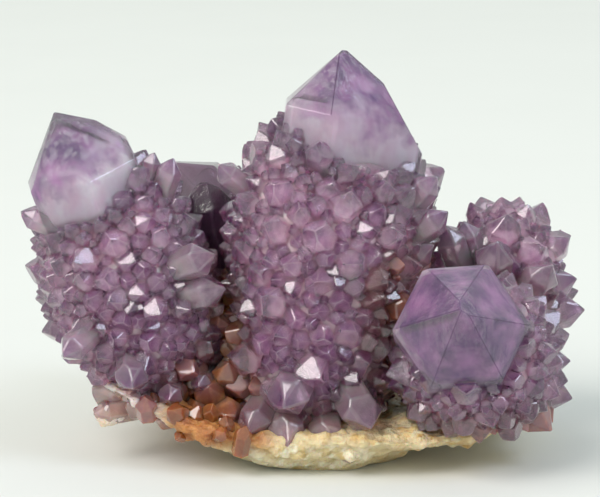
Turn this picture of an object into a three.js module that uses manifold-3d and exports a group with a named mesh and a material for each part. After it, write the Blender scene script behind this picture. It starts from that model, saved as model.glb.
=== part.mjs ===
// An amethyst specimen of the cactus habit. Thick quartz crystals stand on a plate of rock.
// Each one shows a large smooth point, and below the point a coat of small crystals
// has grown straight out of its sides.
//
// Millimetres, +Z up, X to the right and Y to the back. The origin is on the flat foot of the rock.

import * as THREE from "three";
import { mergeVertices } from "three/addons/utils/BufferGeometryUtils.js";
import Module from "manifold-3d";

const wasm = await Module();
wasm.setup();

// Driving dimensions
const GAP = 0.3; // kept between neighbouring pieces
const TIP_ANGLE = THREE.MathUtils.degToRad(51.8); // from a quartz crystal's axis to the normal of a tip face
const GRAIN = 0.002; // corners closer than this are one
const THIN = 0.008; // a face with less height than this is a sliver
const ROOT_TAPER = 0.94; // width of a crystal at its root, as a share of its full width
const COAT_STEP = 2.55; // between neighbouring corners of a coat, where every third corner is a crystal's tip
const COAT_HEIGHT = 2.5; // of a small crystal's point above the valleys around it
const HEIGHT_SPREAD = 0.35; // by which those heights differ, as a share
const CORNER_SHIFT = 0.3; // the most that a corner is out of its row, as a share of the step

const AMETHYST = { color: 0x8d6b93, roughness: 0.22, metalness: 0 };
const PALE_AMETHYST = { color: 0xa08fa3, roughness: 0.18, metalness: 0 };
const DEEP_AMETHYST = { color: 0x5e3f66, roughness: 0.15, metalness: 0 };
const STAINED_QUARTZ = { color: 0xbf9f72, roughness: 0.75, metalness: 0 };

// The thick crystals. root and tip are the ends of the axis, and spin turns the crystal about it. sides
// sets how far out each of the six side faces lies, where 1 is a regular crystal, and cuts lowers each tip
// face by that share of the radius. Both go round from the crystal's +X. coat lists [distance from the
// root, radius] for the ground of the coat, and shift moves the coat sideways.
const SPIRES = {
  centre_spire: {
    root: [-0.6, -0.2, 5.0],
    tip: [10.0, 3.0, 69.8],
    radius: 11.9,
    spin: 0,
    sides: [1.34, 0.98, 1, 1.03, 0.99, 0.79],
    cuts: [-0.06, 0.2, 0, -0.18, -0.12, 0.21],
    coat: [[-1, 9.5], [2, 12.0], [9, 14.0], [22, 15.2], [34, 16.2], [43, 15.0], [50, 10.6]],
    shift: [0.6, 1.0, 0],
    seed: 11,
    finish: AMETHYST,
  },
  left_spire: {
    root: [-24.1, 1.1, 13.0],
    tip: [-40.6, -2.5, 60.3],
    radius: 10.7,
    spin: 9,
    sides: [0.96, 1.04, 1.03, 1, 0.97, 1.04],
    cuts: [-0.19, 0.21, 0.13, -0.05, -0.13, 0],
    coat: [[-2, 7.5], [1, 10.2], [7, 12.4], [16, 13.4], [25, 12.7], [32, 11.2], [37, 8.5]],
    shift: [0.6, 0.5, 0],
    seed: 23,
    finish: AMETHYST,
  },
  right_spire: {
    root: [27.9, 2.1, 15.2],
    tip: [25.4, -33.8, 32.6],
    radius: 11.4,
    spin: 31,
    sides: [0.95, 1, 1, 0.98, 1, 1.02],
    cuts: [0.04, -0.08, 0, 0.03, 0.04, -0.03],
    coat: [[-3, 7], [0, 9.5], [5, 11.4], [12, 12.2], [18, 11.8], [25, 9.6]],
    shift: [2.6, 0, -2.8],
    seed: 37,
    finish: AMETHYST,
  },
  upper_right_spire: {
    root: [32.0, 8.4, 12.0],
    tip: [37.2, 13.0, 38.0],
    radius: 7.5,
    spin: 20,
    coat: [[-2, 6], [1, 8.8], [7, 10.6], [15, 10.2], [22, 8.4], [26.5, 4.5], [28, 1.5]],
    shift: [0, 0, 0],
    seed: 41,
    finish: AMETHYST,
  },
  back_spire: {
    root: [9.3, 20.0, 14.1],
    tip: [-28.2, 25.0, 46.2],
    radius: 9.6,
    spin: 0,
    cuts: [0, 0.1, 0.5, 0.7, 0.5, 0.05],
    coat: [[4, 8.0], [9, 10.2], [18, 11.2], [27, 10.6], [35, 8.2]],
    shift: [0, 0.5, -0.6],
    seed: 53,
    finish: PALE_AMETHYST,
  },
};

// A single crystal that stands in the cleft between the left, centre and back spires.
const INNER_CRYSTAL = {
  root: [-12.2, 7.6, 12.5],
  tip: [-16.8, 9.6, 47.2],
  radius: 4.7,
  spin: 10,
  cuts: [0.1, 0.5, 0.3, 0.1, 0.4, 0.3],
  finish: DEEP_AMETHYST,
};

// Where two coats meet, each is cut back from the flat seam between them. Each entry: the piece that
// gives way, the piece that takes the space in front of the planes, and the planes as [point, normal].
const SEAMS = [
  ["left_spire", "centre_spire", [[[-13.4, 0, 30], [0.99, 0.05, 0.13]]]],
  [
    "centre_spire",
    "right_spire",
    [
      [[17.0, -3.6, 22], [0.92, -0.4, 0]],
      [[18.3, 0, 31.5], [0.8, -0.3, -0.52]],
    ],
  ],
  ["centre_spire", "upper_right_spire", [[[22.5, 5, 30], [0.97, 0.2, -0.1]]]],
  ["right_spire", "upper_right_spire", [[[31, -1, 30], [0.05, 0.9, 0.43]]]],
  ["left_spire", "back_spire", [[[-22.8, 12.3, 30], [0.48, 0.88, 0]]]],
  ["centre_spire", "back_spire", [[[-8.4, 13.9, 30], [-0.75, 0.66, 0]]]],
];

// Larger crystals of the coats: the piece, the foot, the tip, the radius and the spin.
const LARGE_CRYSTALS = [
  ["left_spire", [-36.5, -4, 38], [-47.2, -6, 43], 2.2, 0],
  ["left_spire", [-26.5, -2, 44], [-24.4, -3, 52.8], 1.7, 10],
  ["left_spire", [-24.5, -2, 42], [-21.2, -3, 52], 2.4, 25],
  ["left_spire", [-20.5, -9, 34], [-13.6, -13.5, 37.6], 3.1, 5],
  ["left_spire", [-19.5, -8, 29], [-11.8, -12.0, 31.4], 3.4, 18],
  ["left_spire", [-34, -9, 24], [-39.5, -17.5, 20.5], 2.6, 8],
  ["left_spire", [-28, -8, 19], [-28, -18.0, 15.2], 3.0, 20],
  ["left_spire", [-15, -2, 14], [-17.2, -12.0, 14.2], 1.9, 20],
  ["left_spire", [-21, -4, 13], [-22.0, -14.4, 12.4], 2.2, 4],
  ["left_spire", [-33, -5, 17.5], [-40.6, -7.6, 18.4], 1.4, 14],
  ["centre_spire", [-0.5, -10, 15], [-3.2, -20.4, 12.6], 3.9, 12],
  ["centre_spire", [8, -9, 13], [12.0, -19.0, 8.6], 3.9, 3],
  ["centre_spire", [-6, -9, 10], [-9.0, -17.8, 7.6], 3.2, 22],
  ["centre_spire", [-2, -8, 9], [-2.4, -19.2, 5.6], 3.6, 6],
  ["centre_spire", [4, -8, 9], [4.6, -18.6, 4.8], 3.3, 16],
  ["centre_spire", [17, -1, 41], [23.2, -4, 49.0], 2.6, 8],
  ["centre_spire", [16.5, -2, 36], [25.2, -5, 43.2], 2.8, 20],
  ["centre_spire", [16, -2, 32], [22.8, -5, 37.4], 2.6, 4],
  ["centre_spire", [-9, -3, 46], [-14.0, -6, 51.0], 2.3, 14],
  ["upper_right_spire", [33, 3, 30], [33.2, -2.0, 37.6], 3.7, 4],
  ["upper_right_spire", [38.5, 4, 26], [43.0, -2.4, 33.4], 3.3, 18],
  ["upper_right_spire", [40, 8, 26], [48.6, 6.4, 29.0], 3.0, 10],
  ["upper_right_spire", [31, 6, 30], [27.6, 2.5, 40.0], 2.6, 26],
  ["upper_right_spire", [28, 5, 30], [24.4, 0.5, 39.6], 2.9, 12],
  ["right_spire", [37, -4, 13], [46.8, -8.5, 11.2], 3.3, 5],
  ["right_spire", [37, -4, 17], [46.2, -8.0, 17.8], 2.8, 15],
];

// Crystals that stand on the rock itself, as [foot, tip, radius, spin].
const ROCK_CRYSTALS = [
  [[7, -9, 4.6], [8.6, -19.0, 4.0], 2.3, 12],
  [[-18, -6, 7.0], [-18.6, -14.6, 6.6], 1.8, 4],
  [[-24, -4, 9.2], [-35.4, -9.6, 8.6], 2.4, 14],
];

// The rock: a thin uneven plate around its edge, which stands on a flat foot.
const ROCK = {
  centre: [4.0, 4.0],
  half: [40.5, 23.0],
  corner: 2.6, // roundness of the outline: 2 is an ellipse
  around: 30,
  rows: 12,
  top: 6.5, // how far the middle rises above the edge
  under: 4.0, // how far the underside lies below the edge, clear of the foot
  foot: { centre: [3.0, 2.0], half: [13.0, 17.0] },
  unevenness: 0.8,
  seed: 74,
};

// The bed on the rock that the thick crystals stand on, as [point, normal]: level, and rising to the left.
const BED = [
  [[0, 0, 7.6], [0, 0, 1]],
  [[-10, 0, 7.6], [0.28, 0, 0.96]],
];

const unit = ([x, y, z]) => new THREE.Vector3(x, y, z).normalize();

// A repeatable run of numbers from 0 to 1.
function dice(seed) {
  let state = seed;
  return () => {
    state = (state * 1664525 + 1013904223) % 4294967296;
    return state / 4294967296;
  };
}

// Leaves only positions, with shared vertices merged.
function bare(geometry) {
  for (const name of Object.keys(geometry.attributes))
    if (name !== "position") geometry.deleteAttribute(name);
  return mergeVertices(geometry, 1e-4);
}

function solid(geometry) {
  const merged = bare(geometry);
  return new wasm.Manifold(
    new wasm.Mesh({
      numProp: 3,
      vertProperties: new Float32Array(merged.attributes.position.array),
      triVerts: new Uint32Array(merged.index.array),
    }),
  );
}

function geometryOf(body) {
  const mesh = body.getMesh();
  const cut = new THREE.BufferGeometry()
    .setAttribute("position", new THREE.BufferAttribute(mesh.vertProperties, 3))
    .setIndex(new THREE.BufferAttribute(mesh.triVerts, 1));
  const merged = mergeVertices(cut, GRAIN);
  merged.setIndex(withoutSlivers(merged).flat());
  const flat = merged.toNonIndexed();
  flat.computeVertexNormals();
  return flat;
}

// The faces of a surface without the slivers that cutting leaves. A face that has lost a corner goes,
// and one that is too flat hands its long edge over: it and its neighbour are split the other way.
function withoutSlivers(geometry) {
  const order = Array.from(geometry.index.array);
  const all = Array.from({ length: order.length / 3 }, (_, i) => order.slice(3 * i, 3 * i + 3));
  const faces = all.filter((face) => new Set(face).size === 3);
  const place = geometry.attributes.position;
  const at = (corner) => new THREE.Vector3().fromBufferAttribute(place, corner);
  const owners = new Map();
  const claim = (face) => face.forEach((a, k) => owners.set(`${a} ${face[(k + 1) % 3]}`, face));
  faces.forEach(claim);
  for (const face of [...faces, ...faces]) {
    const lengths = face.map((a, k) => at(a).distanceTo(at(face[(k + 1) % 3])));
    const k = lengths.indexOf(Math.max(...lengths));
    const [a, b, c] = [face[k], face[(k + 1) % 3], face[(k + 2) % 3]];
    const area = at(b).sub(at(a)).cross(at(c).sub(at(a))).length();
    const other = owners.get(`${b} ${a}`);
    const d = other?.find((corner) => corner !== a && corner !== b);
    if (!other || area / lengths[k] > THIN || owners.has(`${c} ${d}`) || owners.has(`${d} ${c}`)) continue;
    face.splice(0, 3, a, d, c);
    other.splice(0, 3, d, b, c);
    owners.delete(`${a} ${b}`);
    owners.delete(`${b} ${a}`);
    claim(face);
    claim(other);
  }
  return faces;
}

// The matrix that stands +Z along the line from foot to tip, turned by spin degrees about it.
function standing(foot, tip, spin = 0) {
  const along = new THREE.Vector3().subVectors(tip, foot).normalize();
  const turn = new THREE.Quaternion().setFromUnitVectors(new THREE.Vector3(0, 0, 1), along);
  turn.multiply(
    new THREE.Quaternion().setFromAxisAngle(new THREE.Vector3(0, 0, 1), THREE.MathUtils.degToRad(spin)),
  );
  return new THREE.Matrix4().compose(foot, turn, new THREE.Vector3(1, 1, 1));
}

// A quartz crystal on the origin, along +Z: six side faces under six tip faces.
function crystal(radius, length, sides = [], cuts = []) {
  const widest = radius * Math.max(1, ...sides);
  const prism = new THREE.CylinderGeometry(widest, widest * ROOT_TAPER, length * 1.2, 6)
    .rotateX(Math.PI / 2)
    .translate(0, 0, length * 0.6);
  let body = solid(prism);
  for (let face = 0; face < 6; face++) {
    const turn = (face * Math.PI) / 3;
    const [x, y] = [Math.cos(turn), Math.sin(turn)];
    if (sides[face]) body = body.trimByPlane([-x, -y, 0], -radius * sides[face] * Math.cos(Math.PI / 6));
    const height = length - (cuts[face] ?? 0) * radius;
    body = body.trimByPlane(
      [-x * Math.sin(TIP_ANGLE), -y * Math.sin(TIP_ANGLE), -Math.cos(TIP_ANGLE)],
      -height * Math.cos(TIP_ANGLE),
    );
  }
  return body;
}

// A crystal from foot to tip.
function crystalBetween(foot, tip, radius, spin, sides, cuts) {
  const from = new THREE.Vector3(...foot);
  const to = new THREE.Vector3(...tip);
  return crystal(radius, from.distanceTo(to), sides, cuts).transform(standing(from, to, spin).elements);
}

// The corners of a coat, row by row from the top. They lie in a net of triangles in which every third
// corner is raised, so that each raised corner is the tip of a six-faced point.
function coatCorners(curve, columns, rows, roll) {
  return Array.from({ length: rows + 1 }, (_, row) => {
    const ground = curve.getPointAt(1 - row / rows);
    const way = curve.getTangentAt(1 - row / rows);
    const step = (2 * Math.PI * ground.x) / columns;
    const loose = row === 0 || row === rows ? 0 : step * CORNER_SHIFT;
    return Array.from({ length: columns }, (_, column) => {
      const raised = loose > 0 && (column - row + 3 * rows) % 3 === 0;
      const height = COAT_HEIGHT * Math.sqrt(step / COAT_STEP) * (1 + HEIGHT_SPREAD * (2 * roll() - 1));
      const up = raised ? height : 0;
      const along = loose * (2 * roll() - 1);
      const turn = ((column + row / 2) / columns) * 2 * Math.PI + (loose * (2 * roll() - 1)) / ground.x;
      const reach = ground.x + up * way.y + along * way.x;
      return [reach * Math.sin(turn), -reach * Math.cos(turn), ground.y - up * way.x + along * way.y];
    });
  });
}

// A coat of small crystals around +Z: a cylinder whose corners move to the net's.
function coatAround(profile, roll) {
  const curve = new THREE.SplineCurve(profile.map(([height, reach]) => new THREE.Vector2(reach, height)));
  const widest = Math.max(...profile.map(([, reach]) => reach));
  const columns = 3 * Math.round((2 * Math.PI * widest) / COAT_STEP / 3);
  const rows = Math.round(curve.getLength() / (COAT_STEP * Math.sin(Math.PI / 3)));
  const corners = coatCorners(curve, columns, rows, roll);
  const net = new THREE.CylinderGeometry(1, 1, 1, columns, rows);
  const place = net.attributes.position;
  for (let i = 0; i < place.count; i++) {
    const [x, z] = [place.getX(i), place.getZ(i)];
    const row = Math.round((0.5 - place.getY(i)) * rows);
    const column = Math.round((Math.atan2(x, z) / (2 * Math.PI) + 1) * columns) % columns;
    const corner = corners[row][column];
    const onAxis = Math.hypot(x, z) < 0.5;
    place.setXYZ(i, onAxis ? 0 : corner[0], onAxis ? 0 : corner[1], corner[2]);
  }
  return solid(net);
}

// A thick crystal with its coat and the larger crystals on it.
function spire(name, { root, tip, radius, spin, sides, cuts, coat, shift, seed }) {
  const roll = dice(seed);
  const frame = standing(new THREE.Vector3(...root), new THREE.Vector3(...tip), spin);
  const moved = new THREE.Matrix4().makeTranslation(...shift).multiply(frame);
  const core = crystalBetween(root, tip, radius, spin, sides, cuts);
  const pieces = [coatAround(coat, roll).transform(moved.elements), core];
  for (const [owner, foot, end, size, turn] of LARGE_CRYSTALS)
    if (owner === name) pieces.push(crystalBetween(foot, end, size, turn));
  return wasm.Manifold.union(pieces);
}

// The space in front of all of some planes, with its sides moved by an offset.
function spaceInFront(planes, offset) {
  return planes.reduce((space, [point, normal]) => {
    const out = unit(normal);
    return space.trimByPlane(out.toArray(), out.dot(new THREE.Vector3(...point)) + offset);
  }, solid(new THREE.BoxGeometry(200, 200, 200)));
}

// Cuts two neighbouring pieces back from the seam between them.
function partAtSeams(bodies) {
  for (const [behind, front, planes] of SEAMS) {
    bodies[behind] = bodies[behind].subtract(spaceInFront(planes, -GAP / 2));
    bodies[front] = bodies[front].intersect(spaceInFront(planes, GAP / 2));
  }
}

// The largest separate body of a solid, so that no chip is left floating.
function largest(body) {
  return body.decompose().reduce((best, next) => (next.volume() > best.volume() ? next : best));
}

// The rock plate: a ball pressed out to the plate's outline, with a flat foot.
function rockPlate() {
  const roll = dice(ROCK.seed);
  const jitter = () => (2 * roll() - 1) * ROCK.unevenness;
  const plate = bare(new THREE.SphereGeometry(1, ROCK.around, ROCK.rows)).rotateX(Math.PI / 2);
  const place = plate.attributes.position;
  for (let i = 0; i < place.count; i++) {
    const [x, y, z] = [place.getX(i), place.getY(i), place.getZ(i)];
    const turn = Math.atan2(y, x);
    const [side, front] = [Math.abs(Math.cos(turn)), Math.abs(Math.sin(turn))];
    const reach = Math.hypot(x, y) * (side ** ROCK.corner + front ** ROCK.corner) ** (-1 / ROCK.corner);
    const px = ROCK.centre[0] + ROCK.half[0] * reach * Math.cos(turn);
    const py = ROCK.centre[1] + ROCK.half[1] * reach * Math.sin(turn);
    const rim = rimHeight(px, py);
    const pz = rim + z * (z < 0 ? undersideDepth(px, py, rim) : ROCK.top);
    place.setXYZ(i, px + jitter(), py + jitter(), pz + jitter());
  }
  return solid(plate).trimByPlane([0, 0, 1], 0);
}

// The rock up to its bed, with the crystals that stand on it.
function rock() {
  const plate = rockPlate().subtract(spaceInFront(BED, -GAP / 2));
  return wasm.Manifold.union([plate, ...ROCK_CRYSTALS.map((c) => crystalBetween(...c))]);
}

// The rock's edge climbs to the left, and a little to the right.
function rimHeight(x, y) {
  return 5.5 + 9.0 * THREE.MathUtils.smoothstep(-x, 6, 40) + 2.5 * THREE.MathUtils.smoothstep(x, 12, 44);
}

// How far the underside lies below the edge: down past the foot's level over the foot, thin elsewhere.
function undersideDepth(x, y, rim) {
  const { centre, half } = ROCK.foot;
  const away = Math.hypot((x - centre[0]) / half[0], (y - centre[1]) / half[1]);
  return THREE.MathUtils.lerp(rim + 3, ROCK.under, THREE.MathUtils.smoothstep(away, 0.85, 1.5));
}

const bodies = Object.fromEntries(Object.entries(SPIRES).map(([name, size]) => [name, spire(name, size)]));
partAtSeams(bodies);

const { root, tip, radius, spin, cuts } = INNER_CRYSTAL;
const clearance = crystalBetween(root, tip, radius + GAP, spin);
for (const name of ["left_spire", "centre_spire", "back_spire"])
  bodies[name] = bodies[name].subtract(clearance);
bodies.inner_crystal = crystalBetween(root, tip, radius, spin, [], cuts);

const aboveBed = spaceInFront(BED, GAP / 2);
for (const name of Object.keys(bodies)) bodies[name] = bodies[name].intersect(aboveBed);
bodies.rock = rock();

const finishes = { inner_crystal: INNER_CRYSTAL.finish, rock: STAINED_QUARTZ };
for (const [name, { finish }] of Object.entries(SPIRES)) finishes[name] = finish;

const specimen = new THREE.Group();
specimen.name = "amethyst_specimen";
for (const [name, body] of Object.entries(bodies)) {
  const mesh = new THREE.Mesh(geometryOf(largest(body)), new THREE.MeshStandardMaterial(finishes[name]));
  mesh.name = name;
  specimen.add(mesh);
}

export default specimen;
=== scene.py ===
"""An amethyst specimen of the cactus habit on its plate of rock.

Lengths are in millimetres until a piece is finished, and metres from there on. +X is to the
right, +Y to the back, and the origin is on the flat foot of the rock, as in the solids.
"""
import math

import bmesh
import bpy
import numpy as np
from mathutils import Matrix, Vector, noise


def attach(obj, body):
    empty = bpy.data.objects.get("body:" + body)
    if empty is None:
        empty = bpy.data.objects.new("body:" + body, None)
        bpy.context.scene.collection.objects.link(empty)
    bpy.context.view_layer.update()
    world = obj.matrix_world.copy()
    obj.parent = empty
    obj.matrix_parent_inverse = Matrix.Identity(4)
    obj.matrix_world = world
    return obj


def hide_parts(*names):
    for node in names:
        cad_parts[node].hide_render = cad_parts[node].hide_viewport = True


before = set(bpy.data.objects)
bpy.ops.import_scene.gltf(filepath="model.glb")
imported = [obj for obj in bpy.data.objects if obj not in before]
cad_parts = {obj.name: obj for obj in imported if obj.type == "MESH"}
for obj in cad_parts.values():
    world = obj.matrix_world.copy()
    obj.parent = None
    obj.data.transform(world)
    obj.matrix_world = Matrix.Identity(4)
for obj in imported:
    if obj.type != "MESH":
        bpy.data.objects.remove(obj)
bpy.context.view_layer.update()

MM = 0.001
UP = Vector((0, 0, 1))

# The photograph's camera
LENS = 148.0
SENSOR = 36.0
DISTANCE = 420.0
ELEVATION = 12.0
AIM = (0.0, 0.0, 35.3)

# Quartz
TIP_ANGLE = math.radians(51.8)  # from a crystal's axis to the normal of a tip face
ROOT_TAPER = 0.94
QUARTZ_IOR = 1.544

# The thick crystals, with the axes, faces and coats of the solids:
# root, tip, radius, spin: the ends of the axis, the radius, and the turn in degrees about the axis
# sides, cuts: how far out the six side faces are, and how much lower the tip faces, in radii
# coat, shift: (distance from the root, radius) of the ground of the coat, and how far it is moved
# sizes: (radius, tries) of the crystals of the coat, the largest first
# past: how far they go past the seams of the spire
# sunk: how much lower the top of the coat is, for each millimetre of x, for each of y and at the
#   origin, and the distances from the root where that starts and where it is whole
# purple: how far below the tip the purple zones start to fade and end, and how much sooner for each
#   millimetre to the right
# skin: how far below the tip the coloured heart of the point starts
# dark, lines, etched: of the heart, of the ridges and of the tip, from 0 to 1
# seed: of the random draws of the coat
# The upper right spire is coated all over, so it has no point.
SPIRES = {
    "centre_spire": dict(
        root=(-0.6, -0.2, 5.0),
        tip=(10.0, 3.0, 69.8),
        radius=11.9,
        spin=0,
        sides=(1.34, 0.98, 1, 1.03, 0.99, 0.79),
        cuts=(-0.06, 0.2, 0, -0.18, -0.12, 0.21),
        coat=((-1, 9.5), (2, 12.0), (9, 14.0), (22, 15.2), (34, 16.2), (43, 15.0), (50, 10.6)),
        shift=(0.6, 1.0, 0),
        sizes=((3.3, 60), (2.6, 500), (2.0, 2500), (1.5, 5000), (1.1, 6000)),
        past=5.0,
        sunk=(0.25, -0.42, -1.0, 25, 42),
        purple=(8, 15, -0.35),
        skin=0.45,
        dark=0.06,
        lines=0.8,
        etched=0.35,
        seed=11,
    ),
    "left_spire": dict(
        root=(-24.1, 1.1, 13.0),
        tip=(-40.6, -2.5, 60.3),
        radius=10.7,
        spin=9,
        sides=(0.96, 1.04, 1.03, 1, 0.97, 1.04),
        cuts=(-0.19, 0.21, 0.13, -0.05, -0.13, 0),
        coat=((-2, 7.5), (1, 10.2), (7, 12.4), (16, 13.4), (25, 12.7), (32, 11.2), (37, 8.5)),
        shift=(0.6, 0.5, 0),
        sizes=((2.7, 60), (2.3, 500), (1.9, 2000), (1.4, 4000), (1.0, 5000)),
        sunk=(-0.2, -0.25, -5.5, 16, 32),
        purple=(10, 15, 0.4),
        skin=1.4,
        dark=0.0,
        lines=0.15,
        etched=1.0,
        seed=23,
    ),
    "right_spire": dict(
        root=(27.9, 2.1, 15.2),
        tip=(25.4, -33.8, 32.6),
        radius=11.4,
        spin=31,
        sides=(0.95, 1, 1, 0.98, 1, 1.02),
        cuts=(0.04, -0.08, 0, 0.03, 0.04, -0.03),
        coat=((-3, 7), (0, 9.5), (5, 11.4), (12, 12.2), (18, 11.8), (24.5, 9.6), (26, 6.5)),
        shift=(2.6, 0, -2.8),
        sizes=((2.9, 60), (2.4, 500), (1.9, 2000), (1.4, 3000), (1.0, 4000)),
        purple=(14, 22, 0),
        skin=0.2,
        dark=0.06,
        lines=0.6,
        etched=0.15,
        seed=37,
    ),
    "upper_right_spire": dict(
        root=(32.0, 8.4, 12.0),
        tip=(37.2, 13.0, 38.0),
        spin=20,
        coat=((-2, 6), (1, 8.8), (7, 10.6), (15, 10.2), (22, 8.4), (26.5, 4.5), (28, 1.5)),
        shift=(0, 0, 0),
        sizes=((3.2, 40), (2.6, 300), (2.0, 1500), (1.4, 3000), (1.0, 3000)),
        seed=41,
    ),
    "back_spire": dict(
        root=(9.3, 20.0, 14.1),
        tip=(-28.2, 25.0, 46.2),
        radius=9.6,
        spin=0,
        sides=(1, 1, 1, 1, 1, 1),
        cuts=(0, 0.1, 0.5, 0.7, 0.5, 0.05),
        coat=((4, 8.0), (9, 10.2), (18, 11.2), (27, 10.6), (35, 8.2)),
        shift=(0, 0.5, -0.6),
        sizes=((2.7, 60), (2.1, 500), (1.6, 2000), (1.2, 3000), (0.9, 3000)),
        purple=(2, 6, 0),
        skin=0.8,
        dark=0.55,
        lines=0.3,
        etched=0.1,
        seed=53,
    ),
}

INNER_CRYSTAL = dict(
    root=(-12.2, 7.6, 12.5),
    tip=(-16.8, 9.6, 47.2),
    radius=4.7,
    spin=10,
    sides=(1, 1, 1, 1, 1, 1),
    cuts=(0.1, 0.5, 0.3, 0.1, 0.4, 0.3),
    purple=(10, 30, 0),
    skin=0.3,
    dark=0.75,
    lines=0.3,
    etched=0.0,
)

# The seams between the coats, as in the solids: the piece behind, the piece in front, and the planes
# as (point, normal). The space in front of all the planes belongs to the piece in front.
SEAMS = (
    ("left_spire", "centre_spire", (((-13.4, 0, 30), (0.99, 0.05, 0.13)),)),
    (
        "centre_spire",
        "right_spire",
        (((17.0, -3.6, 22), (0.92, -0.4, 0)), ((18.3, 0, 31.5), (0.8, -0.3, -0.52))),
    ),
    ("centre_spire", "upper_right_spire", (((22.5, 5, 30), (0.97, 0.2, -0.1)),)),
    ("right_spire", "upper_right_spire", (((31, -1, 30), (0.05, 0.9, 0.43)),)),
    ("left_spire", "back_spire", (((-22.8, 12.3, 30), (0.48, 0.88, 0)),)),
    ("centre_spire", "back_spire", (((-8.4, 13.9, 30), (-0.75, 0.66, 0)),)),
)

BED = (((0, 0, 7.6), (0, 0, 1)), ((-10, 0, 7.6), (0.28, 0, 0.96)))

# Larger crystals of the coats: the piece, the foot, the tip, the radius and the spin.
LARGE_CRYSTALS = (
    ("left_spire", (-36.5, -4, 38), (-47.2, -6, 43), 2.2, 0),
    ("left_spire", (-26.5, -2, 44), (-24.4, -3, 52.8), 1.7, 10),
    ("left_spire", (-24.5, -2, 42), (-21.2, -3, 52), 2.4, 25),
    ("left_spire", (-20.5, -9, 34), (-13.6, -13.5, 37.6), 3.1, 5),
    ("left_spire", (-19.5, -8, 29), (-11.8, -12.0, 31.4), 3.4, 18),
    ("left_spire", (-34, -9, 24), (-39.5, -17.5, 20.5), 2.6, 8),
    ("left_spire", (-28, -8, 19), (-28, -18.0, 15.2), 3.0, 20),
    ("left_spire", (-15, -2, 14), (-17.2, -12.0, 14.2), 1.9, 20),
    ("left_spire", (-21, -4, 13), (-22.0, -14.4, 12.4), 2.2, 4),
    ("left_spire", (-33, -5, 17.5), (-40.6, -7.6, 18.4), 1.4, 14),
    ("centre_spire", (-0.5, -10, 15), (-3.2, -20.4, 12.6), 3.9, 12),
    ("centre_spire", (8, -9, 13), (12.0, -19.0, 8.6), 3.9, 3),
    ("centre_spire", (-6, -9, 10), (-9.0, -17.8, 7.6), 3.2, 22),
    ("centre_spire", (-2, -8, 9), (-2.4, -19.2, 5.6), 3.6, 6),
    ("centre_spire", (4, -8, 9), (4.6, -18.6, 4.8), 3.3, 16),
    ("centre_spire", (17, -1, 41), (23.2, -4, 49.0), 2.6, 8),
    ("centre_spire", (16.5, -2, 36), (25.2, -5, 43.2), 2.8, 20),
    ("centre_spire", (16, -2, 32), (22.8, -5, 37.4), 2.6, 4),
    ("centre_spire", (-9, -3, 46), (-14.0, -6, 51.0), 2.3, 14),
    ("upper_right_spire", (33, 3, 30), (33.2, -2.0, 37.6), 3.7, 4),
    ("upper_right_spire", (38.5, 4, 26), (43.0, -2.4, 33.4), 3.3, 18),
    ("upper_right_spire", (40, 8, 26), (48.6, 6.4, 29.0), 3.0, 10),
    ("upper_right_spire", (31, 6, 30), (27.6, 2.5, 40.0), 2.6, 26),
    ("upper_right_spire", (28, 5, 30), (24.4, 0.5, 39.6), 2.9, 12),
    ("right_spire", (37, -4, 13), (46.8, -8.5, 11.2), 3.3, 5),
    ("right_spire", (37, -4, 17), (46.2, -8.0, 17.8), 2.8, 15),
    ("rock", (7, -9, 4.6), (8.6, -19.0, 4.0), 2.3, 12),
    ("rock", (-18, -6, 7.0), (-18.6, -14.6, 6.6), 1.8, 4),
    ("rock", (-24, -4, 9.2), (-35.4, -9.6, 8.6), 2.4, 14),
    ("rock", (-27, -3, 8.6), (-35.8, -8.4, 13.2), 2.9, 20),
    ("rock", (-24, -4, 9.0), (-29.5, -11.8, 11.4), 3.2, 8),
    ("rock", (-20, -4, 8.0), (-23.4, -13.4, 8.8), 2.6, 25),
    ("rock", (-15, -3, 8.0), (-15.5, -11.5, 14.5), 3.0, 10),
    ("rock", (-13, -2, 9.0), (-12.2, -9.5, 18.0), 2.6, 28),
    ("rock", (-17, -4, 7.0), (-18.5, -13.0, 10.0), 2.8, 2),
    ("rock", (-15, -4, 7.0), (-10.8, -13.6, 9.8), 3.6, 17),
    ("rock", (-21, -2, 9.0), (-22.6, -11.0, 13.6), 3.4, 27),
    ("rock", (-11, -5, 6.0), (-13.2, -15.0, 6.8), 3.0, 9),
)

LARGE_SIDES = (1, 0.93, 1, 1.02, 0.95, 1)
LARGE_CUTS = (0.1, 0, 0.25, 0, 0.15, 0.05)
LARGE_WEAR = 0.1  # width of their worn edges, as a share of the radius
LARGE_FOOT = 0.6  # how far along it a larger crystal leaves the coat, as a share of its length
MILKY_UP_TO = -25  # x of the tip up to which a crystal of the rock is milky
STAINED_TIPS = (-24, 0)  # x of the tips between which it is stained

# The points of the thick crystals
EDGE_WEAR = 0.11  # width of a point's worn edges
BURIED = 6.0  # of a point below the end of its coat
SKIN = 1.5  # of clear quartz beside the coloured heart of a point
HEART_ROUND = 1.3  # rounding of a heart's edges, at most as much as the skin over its tip
LONG_EDGE = 3.0  # a longer one is divided, so that colours can change along it
RIDGE = (0.2, 3.2)  # how far from a ridge its dark zone starts to fade and ends
ETCHED = (2, 13)  # how far below the tip the etching of the skin starts to fade and ends
CRACKED = (3, 12)  # and the white cracks under it

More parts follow.
